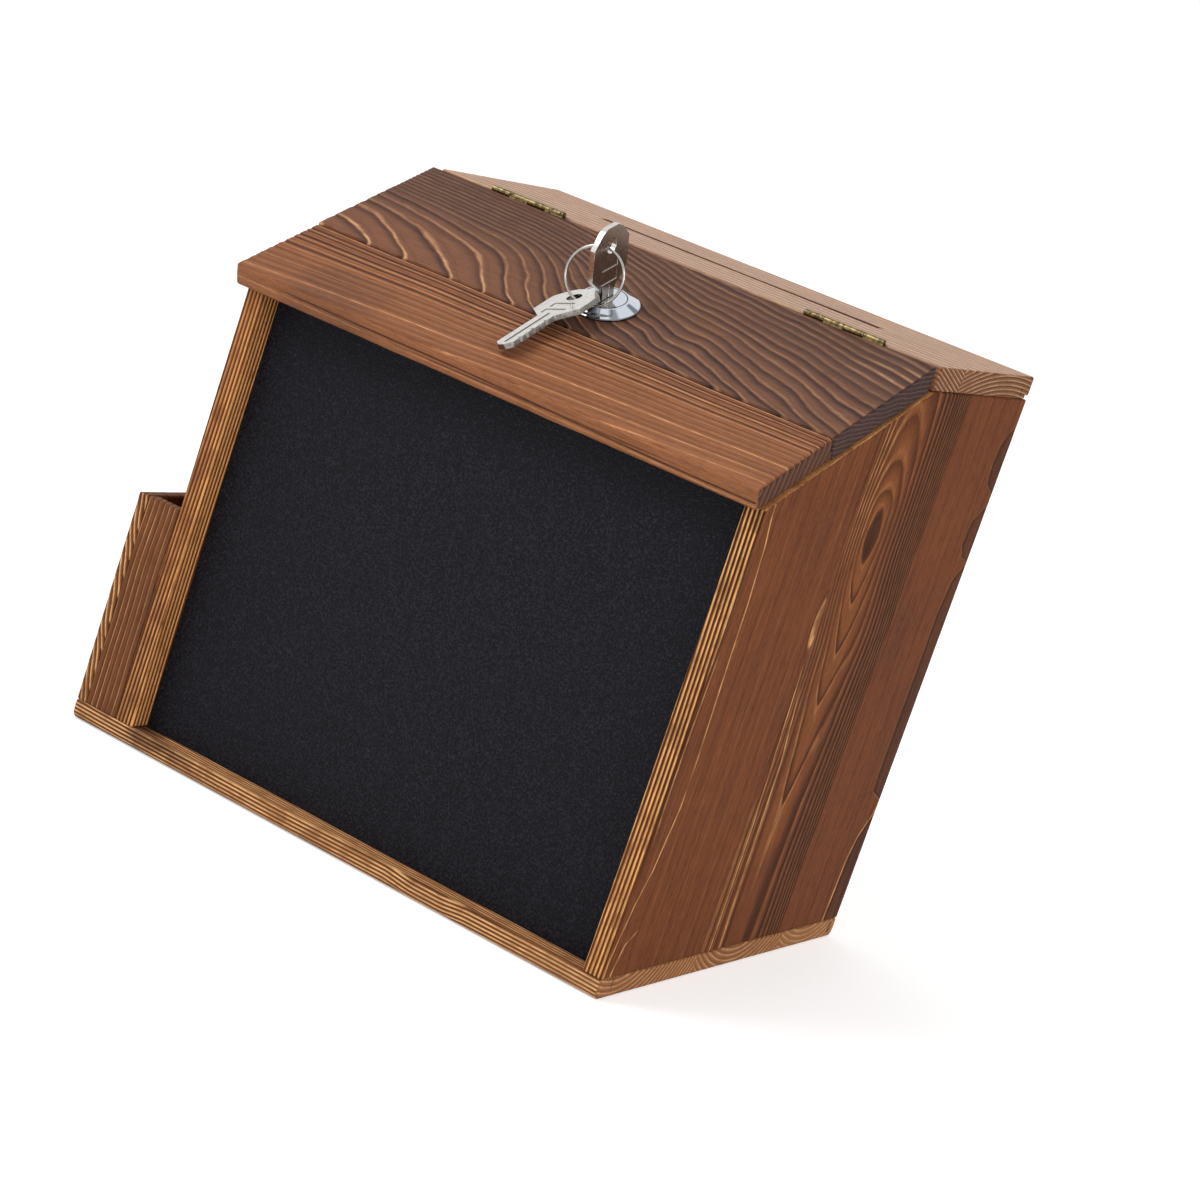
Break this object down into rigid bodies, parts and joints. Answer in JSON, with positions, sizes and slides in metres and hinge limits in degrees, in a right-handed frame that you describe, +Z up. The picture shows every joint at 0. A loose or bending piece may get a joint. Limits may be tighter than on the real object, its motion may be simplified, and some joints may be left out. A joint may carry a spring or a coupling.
{
  "type": "wooden suggestion box",
  "caption": "Wooden box with a sloped hinged lid that locks, a recessed chalkboard front, a paper slot in the flat rear top and an open card pocket on its left side.",
  "frame": {"origin": "middle of the base board's underside, on the table", "axes": "+Z is up, the chalkboard front faces -Y, and the card pocket is on the -X side"},
  "size_m": [0.21, 0.1651, 0.2092],
  "materials": {
    "wood": "brushed, dark stained pine",
    "pale_wood": "brushed, light stained pine",
    "dark_wood": "brushed, scorched pine",
    "plywood": "plain plywood",
    "plain_wood": "sawn pine",
    "chalkboard": "matt blackboard paint",
    "brass": "plated, lightly worn",
    "chrome": "bright plated",
    "nickel": "nickel plated, stamped",
    "zinc_steel": "zinc plated"
  },
  "bodies": {
    "box": {"base_board": "wood", "left_side_board": "wood", "right_side_board": "wood", "back_panel": "plywood", "top_plank": "pale_wood", "chalkboard_panel": "chalkboard", "left_cleat": "plain_wood", "right_cleat": "plain_wood", "strike_rail": "plain_wood", "pocket_outer_board": "wood", "pocket_front_board": "wood", "pocket_back_board": "wood", "base_nails": "zinc_steel", "back_panel_nails": "zinc_steel", "left_hinge_plank_leaf": "brass", "right_hinge_plank_leaf": "brass", "left_hinge_pin": "brass", "right_hinge_pin": "brass", "plank_hinge_screws": "brass"},
    "lid": {"lid_rear_board": "dark_wood", "lid_front_board": "wood", "left_hinge_lid_leaf": "brass", "right_hinge_lid_leaf": "brass", "lid_hinge_screws": "brass", "lock_housing": "chrome", "lock_washer": "zinc_steel", "lock_nut": "zinc_steel"},
    "plug": {"lock_plug": "chrome", "wafer_tumblers": "brass", "lock_cam": "zinc_steel", "cam_screw": "zinc_steel"},
    "key": {"key": "nickel"},
    "ring": {"key_ring": "nickel"},
    "spare": {"spare_key": "nickel"}
  },
  "joints": [
    {"name": "lid_hinge", "type": "hinge", "parent": "box", "child": "lid", "pos_m": [0.0085, 0.00413, 0.2003], "axis": [-1, 0, 0], "range_deg": [0, 130]},
    {"name": "plug_turn", "type": "hinge", "parent": "lid", "child": "plug", "pos_m": [0.0078, -0.03231, 0.18347], "axis": [0, 0.4131, -0.9107], "range_deg": [0, 90]},
    {"name": "key_slide", "type": "slide", "parent": "plug", "child": "key", "axis": [0, -0.4131, 0.9107], "range_m": [0, 0.022]},
    {"name": "ring_swing", "type": "hinge", "parent": "key", "child": "ring", "pos_m": [0.0078, -0.04073, 0.20096], "axis": [-1, 0, 0], "range_deg": [0, 45]},
    {"name": "spare_key_swing", "type": "hinge", "parent": "ring", "child": "spare", "pos_m": [0.00394, -0.04379, 0.18315], "axis": [0, 0.4131, -0.9107], "range_deg": [-8, 10]}
  ]
}
